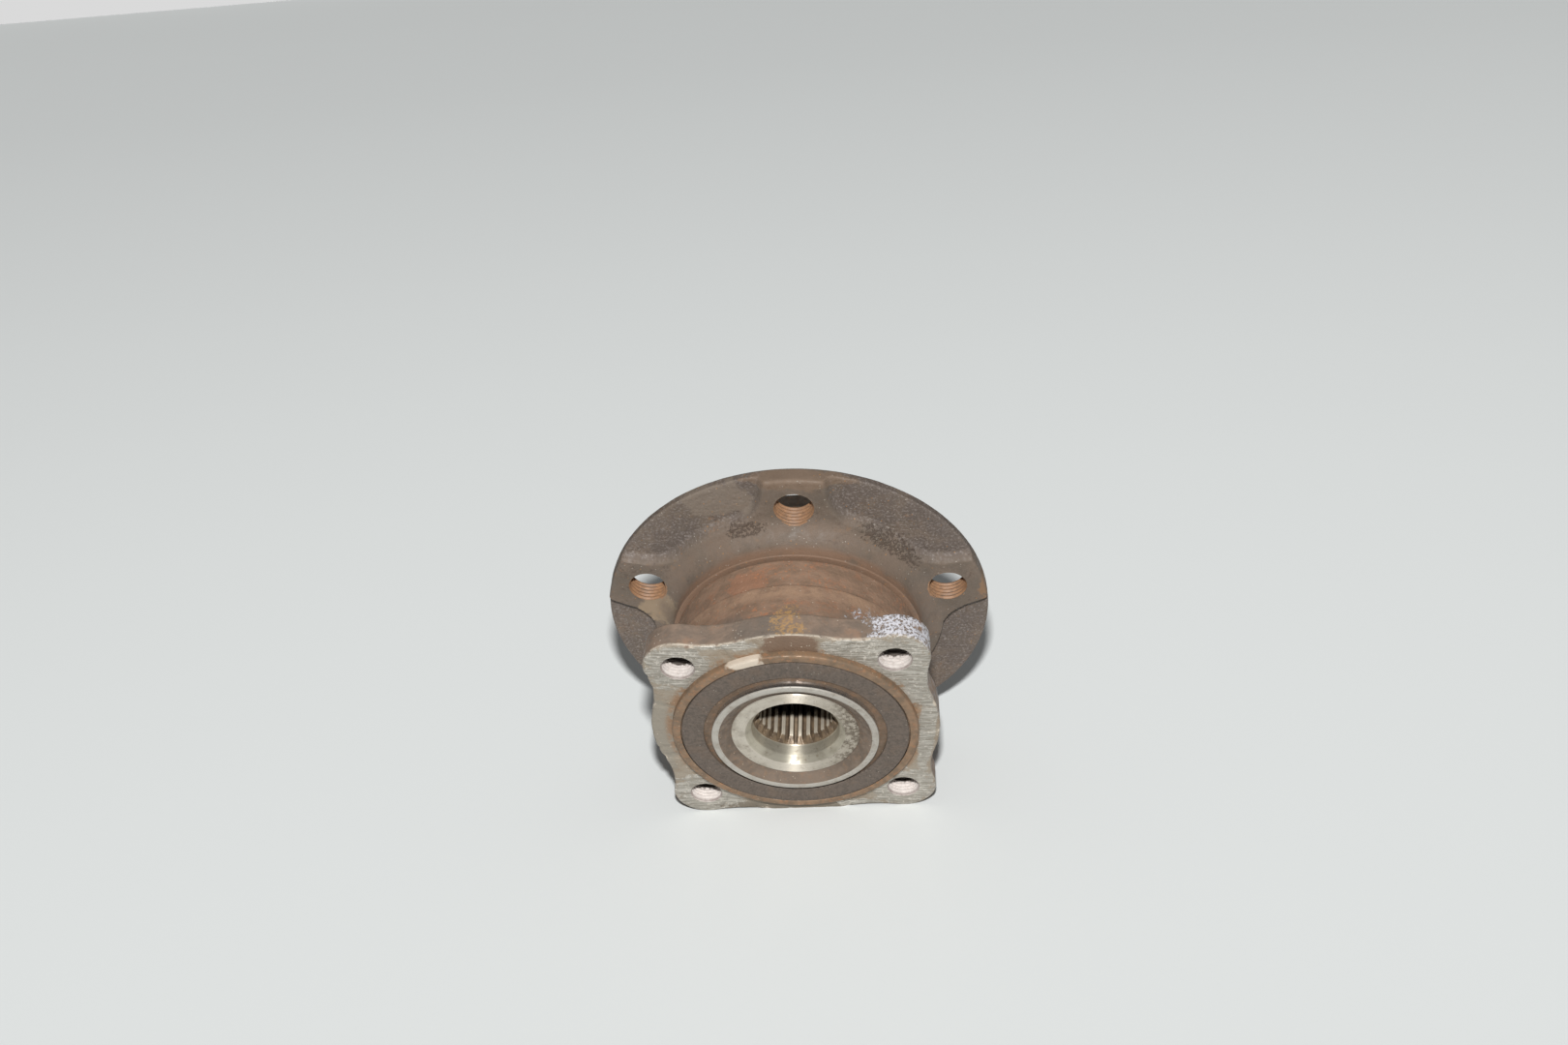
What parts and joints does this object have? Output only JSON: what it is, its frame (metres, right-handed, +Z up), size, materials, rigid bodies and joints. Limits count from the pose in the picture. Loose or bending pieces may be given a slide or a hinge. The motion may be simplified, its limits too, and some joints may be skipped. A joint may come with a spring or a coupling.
{
  "type": "wheel hub bearing",
  "caption": "Flanged wheel hub with a splined bore, turning on two ball rows inside an outer ring with a square bolt-on flange.",
  "frame": {"origin": "centre of the wheel bolt circle, on the wheel's mounting face", "axes": "+Y along the spin axis towards the wheel, -Y towards the knuckle, +Z up"},
  "size_m": [0.133, 0.0823, 0.133],
  "materials": {
    "forged_steel": "forged scale with thin brown rust",
    "rusty_steel": "turned steel with orange-brown rust",
    "bearing_steel": "ground steel with light stains",
    "seal_steel": "pressed sheet steel, tarnished brown",
    "encoder_rubber": "granular magnetic rubber, dusty",
    "seal_rubber": "moulded nitrile rubber",
    "cage_nylon": "natural glass-filled nylon",
    "ball_steel": "lapped bearing steel"
  },
  "bodies": {
    "root": {"outer_ring": "rusty_steel", "inboard_seal_case": "seal_steel", "inboard_seal_lip": "seal_rubber", "outboard_seal_case": "seal_steel", "outboard_seal_lip": "seal_rubber"},
    "hub": {"wheel_hub": "forged_steel", "inner_ring": "bearing_steel", "seal_flinger": "seal_steel", "encoder_ring": "encoder_rubber"},
    "outboard_ball_set": {"outboard_cage": "cage_nylon", "outboard_ball_01": "ball_steel", "outboard_ball_02": "ball_steel", "outboard_ball_03": "ball_steel", "outboard_ball_04": "ball_steel", "outboard_ball_05": "ball_steel", "outboard_ball_06": "ball_steel", "outboard_ball_07": "ball_steel", "outboard_ball_08": "ball_steel", "outboard_ball_09": "ball_steel", "outboard_ball_10": "ball_steel", "outboard_ball_11": "ball_steel", "outboard_ball_12": "ball_steel", "outboard_ball_13": "ball_steel"},
    "inboard_ball_set": {"inboard_cage": "cage_nylon", "inboard_ball_01": "ball_steel", "inboard_ball_02": "ball_steel", "inboard_ball_03": "ball_steel", "inboard_ball_04": "ball_steel", "inboard_ball_05": "ball_steel", "inboard_ball_06": "ball_steel", "inboard_ball_07": "ball_steel", "inboard_ball_08": "ball_steel", "inboard_ball_09": "ball_steel", "inboard_ball_10": "ball_steel", "inboard_ball_11": "ball_steel", "inboard_ball_12": "ball_steel", "inboard_ball_13": "ball_steel"}
  },
  "joints": [
    {"name": "hub_spin", "type": "hinge", "parent": "root", "child": "hub", "pos_m": [0, -0.0384, 0], "axis": [0, 1, 0], "continuous": true},
    {"name": "outboard_cage_spin", "type": "hinge", "parent": "root", "child": "outboard_ball_set", "pos_m": [0, -0.0314, 0], "axis": [0, 1, 0], "continuous": true},
    {"name": "inboard_cage_spin", "type": "hinge", "parent": "root", "child": "inboard_ball_set", "pos_m": [0, -0.0454, 0], "axis": [0, 1, 0], "continuous": true}
  ],
  "couplings": [
    {"joint": "outboard_cage_spin", "follows": "hub_spin", "ratio": 0.42},
    {"joint": "inboard_cage_spin", "follows": "hub_spin", "ratio": 0.42}
  ]
}
